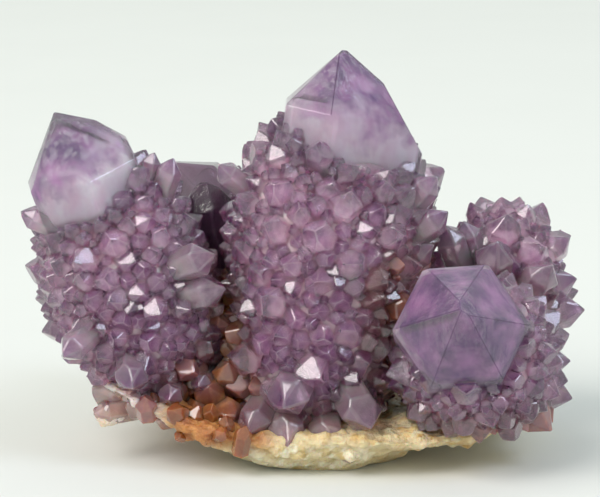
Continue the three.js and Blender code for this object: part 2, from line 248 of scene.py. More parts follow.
# Small crystals of a coat
KINDS = 8  # different crystals that a coat is made of
KINDS_SEED = 5
CLOSENESS = 0.58  # of two neighbours' feet, as a share of the sum of their radii
EXPOSED = (-0.2, 0.5)  # of a crystal's side faces above the ground, as a share of its radius
ROOTED = 1.3  # of a crystal below the ground, as a share of its radius
LEAN_UP = 0.22  # towards the spire's tip
LEAN_LOOSE = 0.34  # to any side
RIM = 0.06  # width of a crystal's worn edges, painted pale as a painted highlight, as a share of its radius
TIP_RISE = 1.1  # of a tip above the side faces, as a share of the radius
BED_CLEAR = 0.5  # from the bed to a crystal's foot, as a share of its radius
POINT_CLEAR = 0.8  # from a point's axis to the feet of its coat, as a share of its radius
ROOT_COAT = 10  # from the root, up to where crystals may stand nearer to the axis
SUNK_MOST = 6.0  # that a coat is lowered
PAINTED_LIGHT_HEIGHTS = (18, 48)  # painted light: height at which crystals start to be painted paler, as if lit from above, and at which they are palest

# Rust on the spires, as (from, to)
CLEFT_RUST = (0.5, 4.5)  # distance from a seam
CLEFT_TOP = (33, 45)  # height at which the rust in the clefts ends
RIGHT_CLEFT = 8  # x past which a cleft has less rust
LOW_RUST = (6, 15)  # height
RUST_POOL = (-15, -10, 10)  # middle of the rusty patch by the left cleft
POOL_REACH = (5, 12)  # distance from there

# Crystals with a face that mirrors a lamp, as (x, z) where the camera sees them
KEY_GLINTS = (
    (-8.4, 27), (-10.6, 26.4), (-1.6, 32.5), (4.9, 32.5), (-24.5, 27), (-27.3, 26.9), (-29.8, 27.6),
    (-26.1, 29.1), (-17.4, 16), (-17.3, 10.8), (-12.6, 14.2), (-15.5, 15.7), (0.5, 11.9), (3.3, 15.5),
    (40.4, 12.6), (34.4, 10.7), (21.8, 39.7), (17.8, 37.5), (-4.7, 54.7), (-20.1, 31.6), (33.5, 38.9),
    (12.3, 42.2), (-29.8, 35.6),
)
FILL_GLINTS = ((7.4, 32.1), (8.6, 19.9), (7.4, 14.4), (-37.5, 30.4), (15.8, 29.1), (43.8, 27.7))
GLINT_RADIUS = 1.9  # of a glinting crystal, at least
GLINT_REACH = 2.5  # from a glint's place to its crystal
FACES_LAMP = 0.4  # cosine from a crystal's axis to the way that mirrors the lamp
FACES_AWAY = 3.0  # how much farther a crystal counts that looks another way
FARTHER_BACK = 0.15  # and for each millimetre that it is farther back
OPAQUE = 0.5  # rust from which on a crystal is hardly see-through

# The rock
ROCK_GRAIN = 0.45  # size of the net that its lumps are made from
LUMPS = ((7.0, 0.9), (2.4, 0.3), (0.9, 0.15))  # (size, height) of its lumps
GRAINS = ((3.0, 1.1), (1.4, 0.55))  # (size, height) of its grains
SMOOTH_FOOT = 2.0  # height below which the lumps fade out
RUBBLE = ((2.2, 25), (1.5, 60), (1.0, 100))  # (radius, tries) of its small crystals
RUBBLE_SEED = 71
RUBBLE_CLOSENESS = 0.7
RUBBLE_END = -7  # x up to which it lies
RUBBLE_RUST = (6, 16)  # distance from the left cleft over which its rust fades
LEFT_CLEFT = -14  # x of the left cleft

# Where the rock is white, pink and rusty, as (from, to)
WHITE_X = ((-14, -8), (10, 18))
WHITE_Z = (5, 8)
PINK_X = (-28, -22)
PINK_Z = (5, 8)
RUST_X = ((-27, -20), (-8, -2))
RUST_Z = (3, 7)

# Where the lamps are
KEY_LAMP = (-1600, -1450, 2250)
FILL_LAMP = (1350, -750, 1500)


# Shapes


def standing(foot, tip, spin=0.0):
    """The matrix that stands +Z along the line from foot to tip, turned by spin degrees about it."""
    foot = Vector(foot)
    turn = UP.rotation_difference(Vector(tip) - foot).to_matrix().to_4x4()
    return Matrix.Translation(foot) @ turn @ Matrix.Rotation(math.radians(spin), 4, "Z")


def slice_off(bm, point, out):
    """Cuts away what lies beyond a plane, and closes the cut."""
    whole = bm.verts[:] + bm.edges[:] + bm.faces[:]
    cut = bmesh.ops.bisect_plane(
        bm, geom=whole, dist=1e-5, plane_co=point, plane_no=out, clear_outer=True
    )
    edges = [part for part in cut["geom_cut"] if isinstance(part, bmesh.types.BMEdge)]
    if edges:
        bmesh.ops.holes_fill(bm, edges=edges, sides=0)


def quartz_crystal(radius, length, sides=(1,) * 6, cuts=(0,) * 6):
    """A crystal on the origin along +Z: six side faces under six tip faces, as a bmesh."""
    bm = bmesh.new()
    widest = radius * max(1, *sides)
    bmesh.ops.create_cone(
        bm,
        cap_ends=True,
        segments=6,
        radius1=widest * ROOT_TAPER,
        radius2=widest,
        depth=length * 1.2,
        matrix=Matrix.Translation((0, 0, length * 0.6)),
    )
    for face, (side, cut) in enumerate(zip(sides, cuts)):
        out = Matrix.Rotation(math.radians(60 * face), 3, "Z") @ Vector((1, 0, 0))
        slice_off(bm, out * radius * side * math.cos(math.radians(30)), out)
        lean = out * math.sin(TIP_ANGLE) + UP * math.cos(TIP_ANGLE)
        slice_off(bm, UP * (length - cut * radius), lean)
    bmesh.ops.remove_doubles(bm, verts=bm.verts[:], dist=radius * 0.01)
    bmesh.ops.dissolve_degenerate(bm, edges=bm.edges[:], dist=radius * 0.01)
    return bm


def crystal_kinds(roll):
    """Small crystals of radius 1 with their tip on the origin, their edges worn.

    Each kind is (corners, triangles, which of the triangles are worn edges with a painted highlight).
    """
    kinds = []
    for _ in range(KINDS):
        sides = roll.uniform(0.78, 1.06, 6)
        cuts = np.where(np.arange(6) % 2, roll.uniform(-0.1, 0.3, 6), roll.uniform(0.1, 0.6, 6))
        bm = quartz_crystal(1.0, 4.0, sides, cuts)
        rim_highlight = bm.faces.layers.float.new("rim_highlight")
        worn = bmesh.ops.bevel(
            bm, geom=bm.edges[:], offset=RIM, segments=1, affect="EDGES", profile=0.5, material=-1
        )
        for face in worn["faces"]:
            face[rim_highlight] = 1.0
        bmesh.ops.triangulate(bm, faces=bm.faces[:])
        bm.verts.index_update()
        corners = np.array([v.co for v in bm.verts])
        triangles = np.array([[v.index for v in face.verts] for face in bm.faces])
        rim_highlights = np.array([face[rim_highlight] for face in bm.faces])
        bm.free()
        kinds.append((corners - (0, 0, corners[:, 2].max()), triangles, rim_highlights))
    return kinds


def placed(name, mesh, materials, nodes):
    """A finished piece, which rides on the specimen and stands for its solids."""
    piece = bpy.data.objects.new(name, mesh)
    bpy.context.collection.objects.link(piece)
    for material in materials:
        mesh.materials.append(material)
    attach(piece, "root")
    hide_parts(*nodes)
    return piece


def finished_mesh(name, bm):
    """The mesh of a bmesh, in metres."""
    bmesh.ops.scale(bm, vec=(MM, MM, MM), verts=bm.verts[:])
    mesh = bpy.data.meshes.new(name)
    bm.to_mesh(mesh)
    bm.free()
    return mesh


# Where things are


def unit(rows):
    return rows / np.linalg.norm(rows, axis=-1, keepdims=True)


def smoothstep(values, low, high):
    share = np.clip((values - low) / (high - low), 0, 1)
    return share * share * (3 - 2 * share)


def mottle(points, size, seed=0):
    """Smooth patches of about that size, from 0 to 1."""
    offset = Vector((seed * 17.3, seed * 5.1, seed * 9.7))
    return np.array([0.5 + 0.5 * noise.noise(Vector(p) / size + offset) for p in points])


def in_front(points, planes):
    """How far each point is in front of all the planes."""
    return np.min(
        [(points - np.array(at)) @ unit(np.array(out, float)) for at, out in planes], axis=0
    )


def seam_depth(name, points):
    """How far inside the spire's own space each point is, past its seams."""
    depth = np.full(len(points), 99.0)
    for behind, front, planes in SEAMS:
        if name == front:
            depth = np.minimum(depth, in_front(points, planes))
        if name == behind:
            depth = np.minimum(depth, -in_front(points, planes))
    return depth


def iron_stain(name, points):
    """How much rust each point carries, from 0 to 1: in the clefts between the spires and by the rock."""
    z = points[:, 2]
    cleft = 1 - smoothstep(seam_depth(name, points), *CLEFT_RUST)
    cleft *= 1 - smoothstep(z, *CLEFT_TOP)
    cleft *= np.where(points[:, 0] > RIGHT_CLEFT, 0.6, 1.0)
    low = 0.8 * (1 - smoothstep(z, *LOW_RUST))
    away = np.linalg.norm((points - RUST_POOL) * (1, 0.7, 0.9), axis=1)
    pool = 1 - smoothstep(away, *POOL_REACH)
    stain = np.maximum(np.maximum(cleft, low), pool)
    return np.clip(stain * (0.1 + 1.4 * mottle(points, 4.0, 3)), 0, 1)


def spire_frame(spire):
    return standing(spire["root"], spire["tip"], spire["spin"])


def coat_frame(spire):
    return Matrix.Translation(spire["shift"]) @ spire_frame(spire)


def moved(matrix, points):
    rows = np.array(matrix)
    return points @ rows[:3, :3].T + rows[:3, 3]


def sunk(spire, points):
    """The points of a coat with its top lowered along the spire, more on one side than on the other."""
    if "sunk" not in spire:
        return points
    slope_x, slope_y, level, low, high = spire["sunk"]
    axis = unit(np.subtract(spire["tip"], spire["root"]))
    height = (points - spire["root"]) @ axis
    drop = np.clip(points[:, 0] * slope_x + points[:, 1] * slope_y + level, 0, SUNK_MOST)
    return points - axis * (drop * smoothstep(height, low, high))[:, None]


def mirror_way(lamp_place):
    """The way that a face looks to mirror a lamp to the camera."""
    lift = math.radians(ELEVATION)
    to_lamp = unit(np.subtract(lamp_place, AIM))
    return unit(to_lamp + (0, -math.cos(lift), math.sin(lift)))


def view_place(points):
    """Where the camera sees points, as x and the height at the front of the specimen."""
    lift = math.radians(ELEVATION)
    return np.stack([points[:, 0], points[:, 2] + (points[:, 1] + 10) * math.tan(lift)], axis=1)


# The coats


def coat_places(spire, roll, tries):
    """Points spread evenly over a coat's ground, with the way out of it and the way to the tip."""
    heights, reaches = np.array(spire["coat"], float).T
    fine = np.linspace(heights[0], heights[-1], 200)
    reach = np.interp(fine, heights, reaches)
    slope = np.gradient(reach, fine)
    share = np.cumsum(reach * np.hypot(1, slope))
    height = np.interp(roll.uniform(0, share[-1], tries), share, fine)
    turn = roll.uniform(0, 2 * np.pi, tries)
    lean = np.interp(height, fine, slope)
    around = np.stack([np.cos(turn), np.sin(turn), np.zeros(tries)], axis=1)
    up = np.tile((0.0, 0.0, 1.0), (tries, 1))
    places = around * np.interp(height, fine, reach)[:, None] + up * height[:, None]
    matrix = coat_frame(spire)
    turned = matrix.to_3x3().to_4x4()
    out = moved(turned, unit(around - up * lean[:, None]))
    along = moved(turned, unit(up + around * lean[:, None]))
    places = sunk(spire, moved(matrix, places))
    if "purple" not in spire:
        return places, out, along
    from_axis = moved(spire_frame(spire).inverted(), places)[:, :2]
    outside = np.linalg.norm(from_axis, axis=1) > POINT_CLEAR * spire["radius"]
    outside |= height < ROOT_COAT
    return places[outside], out[outside], along[outside]


def spread(rounds, closeness, feet, radii):
    """The first of the places that are free, the largest crystals first, after those at feet."""
    axes = np.zeros_like(feet)
    first = len(feet)
    for places, ways, sizes in rounds:
        for place, way, radius in zip(places, ways, sizes):
            if (np.linalg.norm(feet - place, axis=1) > closeness * (radii + radius)).all():
                feet = np.vstack([feet, place])
                axes = np.vstack([axes, way])
                radii = np.append(radii, radius)
    return feet[first:], axes[first:], radii[first:]


def large_feet(name):
    """Where the larger crystals of a piece leave its ground, and their radii."""
    large = [entry for entry in LARGE_CRYSTALS if entry[0] == name]
    if not large:
        return np.full((1, 3), 1e6), np.ones(1)
    feet = np.array([Vector(foot).lerp(Vector(tip), LARGE_FOOT) for _, foot, tip, _, _ in large])
    return feet, np.array([radius for _, _, _, radius, _ in large])


def coat_crystals(name, roll):
    """Feet, axes and radii of a coat's crystals."""
    spire = SPIRES[name]
    rounds = []
    for size, tries in spire["sizes"]:
        places, out, along = coat_places(spire, roll, tries)
        sizes = size * roll.uniform(0.85, 1.12, len(places))
        free = seam_depth(name, places) > 0.1 - spire.get("past", 0)
        free &= in_front(places, BED) > sizes * BED_CLEAR
        loose = unit(roll.normal(size=places.shape)) * roll.uniform(0, 1, (len(places), 1))
        ways = unit(out + LEAN_UP * along + LEAN_LOOSE * loose)
        rounds.append((places[free], ways[free], sizes[free]))
    return spread(rounds, CLOSENESS, *large_feet(name))


def glinting(feet, axes, radii, spins):
    """Turns the crystals where the camera sees glints so that a tip face mirrors its lamp."""
    for lamp_place, glints in ((KEY_LAMP, KEY_GLINTS), (FILL_LAMP, FILL_GLINTS)):
        way = mirror_way(lamp_place)
        seen = view_place(feet + axes * radii[:, None])
        for glint in glints:
            away = np.linalg.norm(seen - glint, axis=1)
            near = int(
                np.argmin(away + FACES_AWAY * (axes @ way < FACES_LAMP) + FARTHER_BACK * feet[:, 1])
            )
            if away[near] > GLINT_REACH:
                continue
            across = unit(axes[near] - way * (axes[near] @ way))
            axes[near] = way * math.cos(TIP_ANGLE) + across * math.sin(TIP_ANGLE)
            radii[near] = max(radii[near], GLINT_RADIUS)
            face = UP.rotation_difference(Vector(axes[near])).inverted() @ Vector(way)
            spins[near] = math.degrees(math.atan2(face.y, face.x))


def joined_crystals(name, feet, axes, radii, stains, kinds, roll):
    """One mesh of many small crystals, with what the finish of each corner needs."""
    spins = roll.uniform(0, 360, len(feet))
    glinting(feet, axes, radii, spins)
    corners, triangles, rim_highlights = [], [], []
    values = {"rise": [], "rust": [], "tint": []}
    count = 0
    for foot, axis, radius, spin, stain in zip(feet, axes, radii, spins, stains):
        shape, faces, rim_highlight = kinds[roll.integers(len(kinds))]
        rise = TIP_RISE + roll.uniform(*EXPOSED)
        short = np.maximum(shape, (-9, -9, -rise - ROOTED))
        turn = standing((0, 0, 0), axis, spin)
        corners.append(moved(turn, short * radius) + foot + axis * rise * radius)
        triangles.append(faces + count)
        rim_highlights.append(rim_highlight)
        values["rise"].append(-short[:, 2] / 2)
        values["rust"].append(np.full(len(shape), stain))
        # A random tone, plus painted light: the crystals higher up are painted paler, as if lit from
        # above.
        tone_and_painted_light = 0.6 * roll.uniform() + 0.5 * smoothstep(foot[2], *PAINTED_LIGHT_HEIGHTS)
        values["tint"].append(np.full(len(shape), tone_and_painted_light))
        count += len(shape)
    mesh = bpy.data.meshes.new(name)
    mesh.from_pydata((np.vstack(corners) * MM).tolist(), [], np.vstack(triangles).tolist())
    for label, parts in values.items():
        mesh.attributes.new(label, "FLOAT", "POINT").data.foreach_set("value", np.concatenate(parts))
    # The worn edges are marked for a painted highlight.
    mesh.attributes.new("rim_highlight", "FLOAT", "FACE").data.foreach_set("value", np.concatenate(rim_highlights))
    stained = np.repeat(np.asarray(stains) > OPAQUE, [len(rim_highlight) for rim_highlight in rim_highlights])
    mesh.polygons.foreach_set("material_index", stained.astype(np.int32))
    return mesh


def coat(name, kinds):
    """The coat of small crystals on a spire."""
    roll = np.random.default_rng(SPIRES[name]["seed"])
    feet, axes, radii = coat_crystals(name, roll)
    stains = iron_stain(name, feet)
    mesh = joined_crystals(f"{name}_coat", feet, axes, radii, stains, kinds, roll)
    return placed(f"{name}_coat", mesh, [FINISHES["druse"], FINISHES["stained"]], [name])


def ground(name):
    """The milky quartz under a coat: its profile turned about the spire, and cut at seams and bed."""
    spire = SPIRES[name]
    profile = [*spire["coat"][:-1], (spire["coat"][-1][0], spire["coat"][-1][1] * 0.7)]
    line = [(0, 0, profile[0][0]), *[(reach, 0, height) for height, reach in profile]]
    line.append((0, 0, profile[-1][0]))
    bm = bmesh.new()
    corners = [bm.verts.new(place) for place in line]
    edges = [bm.edges.new(pair) for pair in zip(corners, corners[1:])]
    bmesh.ops.subdivide_edges(bm, edges=edges[1:-1], cuts=5)
    bmesh.ops.spin(
        bm,
        geom=bm.verts[:] + bm.edges[:],
        axis=UP,
        cent=(0, 0, 0),
        angle=2 * math.pi,
        steps=64,
        use_merge=True,
    )
    bmesh.ops.remove_doubles(bm, verts=bm.verts[:], dist=0.01)
    bmesh.ops.transform(bm, matrix=coat_frame(spire), verts=bm.verts[:])
    for at, out in BED:
        slice_off(bm, at, -Vector(out))
    for behind, front, planes in SEAMS:
        if name in (behind, front) and len(planes) == 1:
            at, out = planes[0]
            slice_off(bm, at, Vector(out) if name == behind else -Vector(out))
    for vert, place in zip(bm.verts, sunk(spire, np.array([v.co for v in bm.verts]))):
        vert.co = place
    bmesh.ops.recalc_face_normals(bm, faces=bm.faces[:])
    stains = iron_stain(name, np.array([v.co for v in bm.verts]))
    mesh = finished_mesh(f"{name}_ground", bm)
    mesh.attributes.new("rust", "FLOAT", "POINT").data.foreach_set("value", stains)
    mesh.shade_smooth()
    return placed(f"{name}_ground", mesh, [FINISHES["crust"]], [name])


def large_crystals(name):
    """The larger crystals of a coat, or of the rock."""
    whole = bmesh.new()
    for label in ("rise", "tint"):
        whole.verts.layers.float.new(label)
    whole.faces.layers.float.new("rim_highlight")
    for owner, foot, tip, radius, spin in LARGE_CRYSTALS:
        if owner != name:
            continue
        length = (Vector(tip) - Vector(foot)).length
        bm = quartz_crystal(radius, length, LARGE_SIDES, LARGE_CUTS)
        rim_highlight = bm.faces.layers.float.new("rim_highlight")
        rise = bm.verts.layers.float.new("rise")
        tint = bm.verts.layers.float.new("tint")
        worn = bmesh.ops.bevel(
            bm,
            geom=bm.edges[:],
            offset=LARGE_WEAR * radius,
            segments=3,
            affect="EDGES",
            profile=0.5,
            material=-1,
        )
        for face in worn["faces"]:
            # Their worn edges carry a painted highlight, a little weaker than on the small crystals.
            face[rim_highlight] = 0.8
        milky = owner == "rock" and tip[0] < MILKY_UP_TO
        stained = owner == "rock" and STAINED_TIPS[0] < tip[0] < STAINED_TIPS[1]
        for face in bm.faces:
            face.material_index = int(stained)
        for vert in bm.verts:
            vert[rise] = 1.0 if milky else (length - vert.co.z) / radius / 2.6
            vert[tint] = (spin % 10) / 10
        bmesh.ops.transform(bm, matrix=standing(foot, tip, spin), verts=bm.verts[:])
        mesh = bpy.data.meshes.new("crystal")
        bm.to_mesh(mesh)
        bm.free()
        whole.from_mesh(mesh)
        bpy.data.meshes.remove(mesh)
    stains = iron_stain(name, np.array([v.co for v in whole.verts]))
    mesh = finished_mesh(f"{name}_large_crystals", whole)
    share = 1.0 if name == "rock" else 0.25
    mesh.attributes.new("rust", "FLOAT", "POINT").data.foreach_set("value", stains * share)
    return placed(mesh.name, mesh, [FINISHES["crystal"], FINISHES["stained"]], [name])


# The points


def point_skin(name, spire):
    """The clear outside of a smooth point, with its edges a little worn."""
    length = (Vector(spire["tip"]) - Vector(spire["root"])).length
    bm = quartz_crystal(spire["radius"], length, spire["sides"], spire["cuts"])
    if "coat" in spire:
        slice_off(bm, UP * (spire["coat"][-1][0] - BURIED), -UP)
    ridge = bm.faces.layers.float.new("ridge")
    worn = bmesh.ops.bevel(
        bm, geom=bm.edges[:], offset=EDGE_WEAR, segments=1, affect="EDGES", profile=0.5, material=-1
    )
    for face in worn["faces"]:
        face[ridge] = spire["lines"] * float(face.normal.z > math.cos(TIP_ANGLE) + 0.01)
    bmesh.ops.triangulate(bm, faces=bm.faces[:])
    long_edges = [edge for edge in bm.edges if edge.calc_length() > LONG_EDGE]
    bmesh.ops.subdivide_edges(bm, edges=long_edges, cuts=4, use_grid_fill=True)
    etched = bm.verts.layers.float.new("etched")
    dark = bm.verts.layers.float.new("dark")
    for vert in bm.verts:
        near_tip = 1 - smoothstep(length - vert.co.z, *ETCHED)
        vert[etched] = spire["etched"] * float(near_tip)
        vert[dark] = spire["dark"]
    bmesh.ops.transform(bm, matrix=spire_frame(spire), verts=bm.verts[:])
    mesh = finished_mesh(f"{name}_point", bm)
    return placed(mesh.name, mesh, [FINISHES["point"]], [name])


def near_ridge(corners, length, spire):
    """How near each corner of a point is to a ridge between two tip faces, from 0 to 1."""
    below = []
    for face, cut in enumerate(spire["cuts"]):
        turn = math.radians(60 * face)
        lean = math.sin(TIP_ANGLE) * np.array([math.cos(turn), math.sin(turn), 0])
        lean[2] = math.cos(TIP_ANGLE)
        below.append(((0, 0, length - cut * spire["radius"]) - corners) @ lean)
    lowest = np.sort(below, axis=0)
    return 1 - smoothstep(lowest[1] - lowest[0], *RIDGE)


def point_heart(name, spire):
    """The coloured inside of a point: purple zones under the tip faces, and milky quartz below."""
    length = (Vector(spire["tip"]) - Vector(spire["root"])).length
    sides = [side - SKIN / spire["radius"] for side in spire["sides"]]
    bm = quartz_crystal(spire["radius"], length - spire["skin"], sides, spire["cuts"])
    if "coat" in spire:
        slice_off(bm, UP * (spire["coat"][-1][0] - BURIED + 0.5), -UP)
    bmesh.ops.bevel(
        bm,
        geom=bm.edges[:],
        offset=min(HEART_ROUND, spire["skin"]),
        segments=4,
        affect="EDGES",
        profile=0.5,
        material=-1,
    )
    bmesh.ops.triangulate(bm, faces=bm.faces[:])
    long_edges = [edge for edge in bm.edges if edge.calc_length() > LONG_EDGE]
    bmesh.ops.subdivide_edges(bm, edges=long_edges, cuts=4, use_grid_fill=True)
    fade, end, slope = spire["purple"]
    corners = np.array([v.co for v in bm.verts])
    depth = length - corners[:, 2]
    ridges = near_ridge(corners, length, spire)
    bmesh.ops.transform(bm, matrix=spire_frame(spire), verts=bm.verts[:])
    depth += slope * np.array([v.co.x - spire["tip"][0] for v in bm.verts])
    mesh = finished_mesh(f"{name}_heart", bm)
    mesh.attributes.new("ridge", "FLOAT", "POINT").data.foreach_set("value", ridges)
    etched = spire["etched"] * (1 - smoothstep(length - corners[:, 2], *CRACKED))
    mesh.attributes.new("etched", "FLOAT", "POINT").data.foreach_set("value", etched)
    mesh.attributes.new("below_tip", "FLOAT", "POINT").data.foreach_set(
        "value", (depth - fade) / (end - fade)
    )
    dark = mesh.attributes.new("dark", "FLOAT", "POINT")
    dark.data.foreach_set("value", np.full(len(depth), spire["dark"]))
    mesh.shade_smooth()
    return placed(mesh.name, mesh, [FINISHES["zoned"]], [name])


# The rock


def rock():
    """The plate of rock, from its solid, with the lumps and grains of a broken surface."""
    bm = bmesh.new()
    bm.from_mesh(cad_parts["rock"].data)
    bmesh.ops.remove_doubles(bm, verts=bm.verts[:], dist=1e-6)
    mesh = bpy.data.meshes.new("rock_plate")
    bm.to_mesh(mesh)
    bm.free()
    piece = placed("rock_plate", mesh, [FINISHES["rock"]], ["rock"])
    net = piece.modifiers.new("net", "REMESH")
    net.mode = "VOXEL"
    net.voxel_size = ROCK_GRAIN * MM
    fine = bpy.data.meshes.new_from_object(
        piece.evaluated_get(bpy.context.evaluated_depsgraph_get())
    )
    piece.modifiers.clear()
    piece.data = fine
    fine.name = "rock_plate"
    ways = [v.normal.copy() for v in fine.vertices]
    for vert, way in zip(fine.vertices, ways):
        at = vert.co / MM
        lift = sum(height * noise.noise(at / size) for size, height in LUMPS)
        lift += sum(height * (0.45 - noise.voronoi(at / size)[0][0]) for size, height in GRAINS)
        keep = smoothstep(at.z, 0.0, SMOOTH_FOOT)
        vert.co += way * lift * MM * float(keep)
    points = np.array([v.co for v in fine.vertices]) / MM
    cells = np.array([noise.voronoi(Vector(point) / GRAINS[1][0])[1][0] for point in points])
    grain = np.modf(np.abs(cells @ (12.9, 78.2, 37.7)))[0]
    patchy = mottle(points, 9.0, 5) - 0.5
    x = points[:, 0] + 12 * patchy
    z = points[:, 2] + 5 * patchy
    white = smoothstep(x, *WHITE_X[0]) * (1 - smoothstep(x, *WHITE_X[1])) * (1 - smoothstep(z, *WHITE_Z))
    pink = (1 - smoothstep(x, *PINK_X)) * smoothstep(z, *PINK_Z)
    rust = smoothstep(x, *RUST_X[0]) * (1 - smoothstep(x, *RUST_X[1])) * smoothstep(z, *RUST_Z)
    for label, values in (("white", white), ("pink", pink), ("rust", rust), ("grain", grain)):
        fine.attributes.new(label, "FLOAT", "POINT").data.foreach_set("value", values)
    return piece


def rubble(plate, kinds):
    """Small stained crystals over the top and front of the rock."""
    roll = np.random.default_rng(RUBBLE_SEED)
    count = len(plate.data.polygons)
    middles = np.empty(count * 3)
    ways = np.empty(count * 3)
    plate.data.polygons.foreach_get("center", middles)
    plate.data.polygons.foreach_get("normal", ways)
    middles = middles.reshape(-1, 3) / MM
    ways = ways.reshape(-1, 3)
    lowest = 4.5 + 0.06 * np.abs(middles[:, 0] - LEFT_CLEFT) + 3 * mottle(middles, 6.0, 8)
    shown = (middles[:, 2] > lowest) & (ways @ (0, -0.6, 0.8) > 0.1) & (middles[:, 0] < RUBBLE_END)
    fit = np.flatnonzero(shown)
    rounds = []
    for size, tries in RUBBLE:
        some = roll.choice(fit, tries)
        loose = LEAN_LOOSE * unit(roll.normal(size=(tries, 3)))
        rounds.append((middles[some], unit(ways[some] + loose), size * roll.uniform(0.85, 1.12, tries)))
    feet, axes, radii = spread(rounds, RUBBLE_CLOSENESS, *large_feet("rock"))
    stains = 1.2 - smoothstep(np.abs(feet[:, 0] - LEFT_CLEFT), *RUBBLE_RUST)
    stains = np.clip(stains, 0.35, 1.0)
    mesh = joined_crystals("rock_rubble", feet, axes, radii, stains, kinds, roll)
    finishes = [FINISHES["druse"], FINISHES["stained"]]
    return placed("rock_rubble", mesh, finishes, ["rock"])


# Finishes


def linear(colour):
    """The linear colour, with alpha, of an sRGB hex colour."""
    parts = [int(colour[i : i + 2], 16) / 255 for i in (1, 3, 5)]
    return (*[p / 12.92 if p <= 0.04045 else ((p + 0.055) / 1.055) ** 2.4 for p in parts], 1.0)


def add(tree, kind, inputs=None, out=0, **settings):
    """The output of a node with its settings. An input is a value, a hex colour or an output to link."""
    node = tree.nodes.new(kind)
    for label, value in settings.items():
        setattr(node, label, value)
    for label, value in (inputs or {}).items():
        if isinstance(value, bpy.types.NodeSocket):
            tree.links.new(value, node.inputs[label])
        else:
            node.inputs[label].default_value = linear(value) if isinstance(value, str) else value
    return node.outputs[out]


# A Mix node that mixes colours, which takes them as its inputs 6 and 7
COLOURS = {"out": 2, "data_type": "RGBA"}


def cloudy(tree, size, low=0.35, high=0.65, stretch=(1, 1, 1)):
    """Soft patches of that size in millimetres, from 0 to 1."""
    place = add(tree, "ShaderNodeTexCoord", out="Object")
    place = add(tree, "ShaderNodeMapping", {"Vector": place, "Scale": stretch})
    inputs = {"Vector": place, "Scale": 1 / (size * MM), "Detail": 4.0, "Roughness": 0.55}
    patches = add(tree, "ShaderNodeTexNoise", inputs, "Fac")
    return add(tree, "ShaderNodeMapRange", {0: patches, 1: low, 2: high})


def material_of(name, finish):
    """A material whose Principled shader has the inputs that finish gives for its tree."""
    material = bpy.data.materials.new(name)
    material.use_nodes = True
    tree = material.node_tree
    tree.nodes.clear()
    shader = add(tree, "ShaderNodeBsdfPrincipled", finish(tree))
    result = tree.nodes.new("ShaderNodeOutputMaterial")
    tree.links.new(shader, result.inputs["Surface"])
    return material


def crystal(tree):
    # Amethyst: the larger crystals of the druse, grown as the small ones are, and a little milkier.
    return {**druse(tree), "Transmission Weight": 0.8, "Subsurface Scale": 2.0 * MM}


def druse(tree):
    # Amethyst druse: quartz crystals a few millimetres across, grown from solution. Each is purple
    # under its tip and milky at its root, hazy inside and glossy outside. Its worn edges are painted
    # pale, a painted highlight, and the crystals higher up are painted paler, as painted light from
    # above. The growth steps on its faces are under 0.1 mm wide, and are drawn 0.5 mm wide so that
    # they show.
    tint = add(tree, "ShaderNodeAttribute", out="Fac", attribute_name="tint")
    rise = add(tree, "ShaderNodeAttribute", out="Fac", attribute_name="rise")
    rim_highlight = add(tree, "ShaderNodeAttribute", out="Fac", attribute_name="rim_highlight")
    rust = add(tree, "ShaderNodeAttribute", out="Fac", attribute_name="rust")
    root = add(tree, "ShaderNodeMapRange", {0: rise, 1: 0.2, 2: 0.85})
    # Painted highlight: the worn edges are painted pale, half way.
    rim_highlight = add(tree, "ShaderNodeMath", {0: rim_highlight, 1: 0.5}, operation="MULTIPLY")
    purple = add(tree, "ShaderNodeMix", {0: tint, 6: "#ba88be", 7: "#f0d0ee"}, **COLOURS)
    purple = add(tree, "ShaderNodeMix", {0: cloudy(tree, 1.6), 6: purple, 7: "#a676ae"}, **COLOURS)
    colour = add(tree, "ShaderNodeMix", {0: root, 6: purple, 7: "#ffe6ec"}, **COLOURS)
    colour = add(tree, "ShaderNodeMix", {0: rim_highlight, 6: colour, 7: "#eadbe6"}, **COLOURS)
    stain = add(tree, "ShaderNodeMix", {0: cloudy(tree, 2.0), 6: "#b96a3a", 7: "#dfae80"}, **COLOURS)
    steps = {"Height": cloudy(tree, 0.5), "Distance": 0.1 * MM, "Strength": 0.3}
    return {
        "Base Color": add(tree, "ShaderNodeMix", {0: rust, 6: colour, 7: stain}, **COLOURS),
        "Roughness": 0.13,
        "IOR": QUARTZ_IOR,
        "Transmission Weight": 0.9,
        "Subsurface Weight": 1.0,
        "Subsurface Radius": (1.0, 0.6, 0.8),
        "Subsurface Scale": 1.5 * MM,
        "Coat Weight": 1.0,
        "Coat Roughness": 0.03,
        "Coat IOR": QUARTZ_IOR,
        "Normal": add(tree, "ShaderNodeBump", steps),
    }


def stained(tree):
    # Iron-stained quartz: crystals grown with rust in and on them, orange-brown and hardly
    # see-through, with the gloss of their faces.
    tint = add(tree, "ShaderNodeAttribute", out="Fac", attribute_name="tint")
    rust = add(tree, "ShaderNodeAttribute", out="Fac", attribute_name="rust")
    purple = add(tree, "ShaderNodeMix", {0: tint, 6: "#a87a98", 7: "#c49aa8"}, **COLOURS)
    brown = add(tree, "ShaderNodeMix", {0: cloudy(tree, 3.0), 6: "#8a4a24", 7: "#c4854a"}, **COLOURS)
    brown = add(tree, "ShaderNodeMix", {0: cloudy(tree, 1.0), 6: brown, 7: "#9a5a2c"}, **COLOURS)
    return {
        "Base Color": add(tree, "ShaderNodeMix", {0: rust, 6: purple, 7: brown}, **COLOURS),
        "Roughness": 0.25,
        "IOR": QUARTZ_IOR,
        "Transmission Weight": 0.35,
        "Subsurface Weight": 1.0,
        "Subsurface Radius": (1.0, 0.4, 0.15),
        "Subsurface Scale": 3.0 * MM,
        "Coat Weight": 1.0,
        "Coat Roughness": 0.03,
        "Coat IOR": QUARTZ_IOR,
    }


